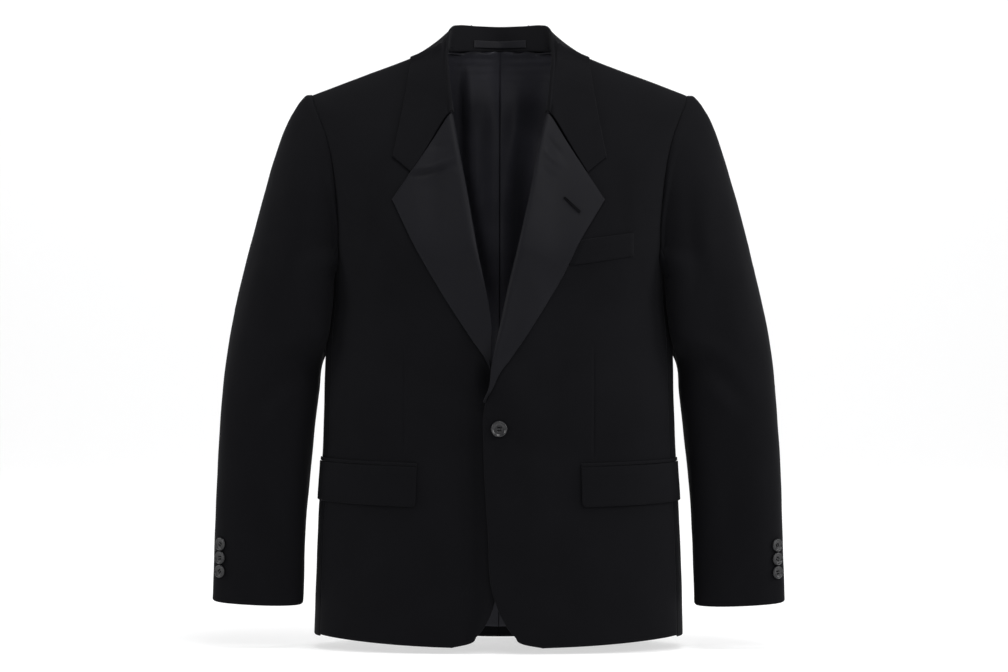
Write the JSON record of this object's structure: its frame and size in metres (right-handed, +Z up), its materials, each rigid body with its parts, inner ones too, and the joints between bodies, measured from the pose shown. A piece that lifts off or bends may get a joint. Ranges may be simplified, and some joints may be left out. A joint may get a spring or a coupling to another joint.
{
  "type": "tuxedo jacket",
  "caption": "Hollow one-button dinner jacket as worn, with notched satin lapels, a welt breast pocket, hip pocket flaps and two-piece sleeves.",
  "frame": {"origin": "the nape: where the inside of the collar meets the centre-back seam, at which the jacket hangs on its wearer's shoulders", "axes": "+Z up, the front faces -Y, +X towards the wearer's left"},
  "size_m": [0.7224, 0.2567, 0.7878],
  "materials": {
    "wool": "matte worsted wool",
    "satin": "soft satin weave",
    "lining": "smooth twill lining",
    "horn": "satin horn"
  },
  "bodies": {
    "root": {"front_left": "wool", "front_right": "wool", "side_left": "wool", "side_right": "wool", "back_left": "wool", "back_right": "wool", "top_sleeve_left": "wool", "top_sleeve_right": "wool", "under_sleeve_left": "wool", "under_sleeve_right": "wool", "collar": "wool", "lapel_left": "satin", "lapel_right": "satin", "breast_welt": "wool", "pocket_jet_left": "wool", "pocket_jet_right": "wool", "flap_left": "wool", "flap_right": "wool", "lining_back_left": "lining", "lining_back_right": "lining", "hanger_loop": "wool", "button_front": "horn", "cuff_button_left_1": "horn", "cuff_button_left_2": "horn", "cuff_button_left_3": "horn", "cuff_button_right_1": "horn", "cuff_button_right_2": "horn", "cuff_button_right_3": "horn"}
  },
  "joints": []
}
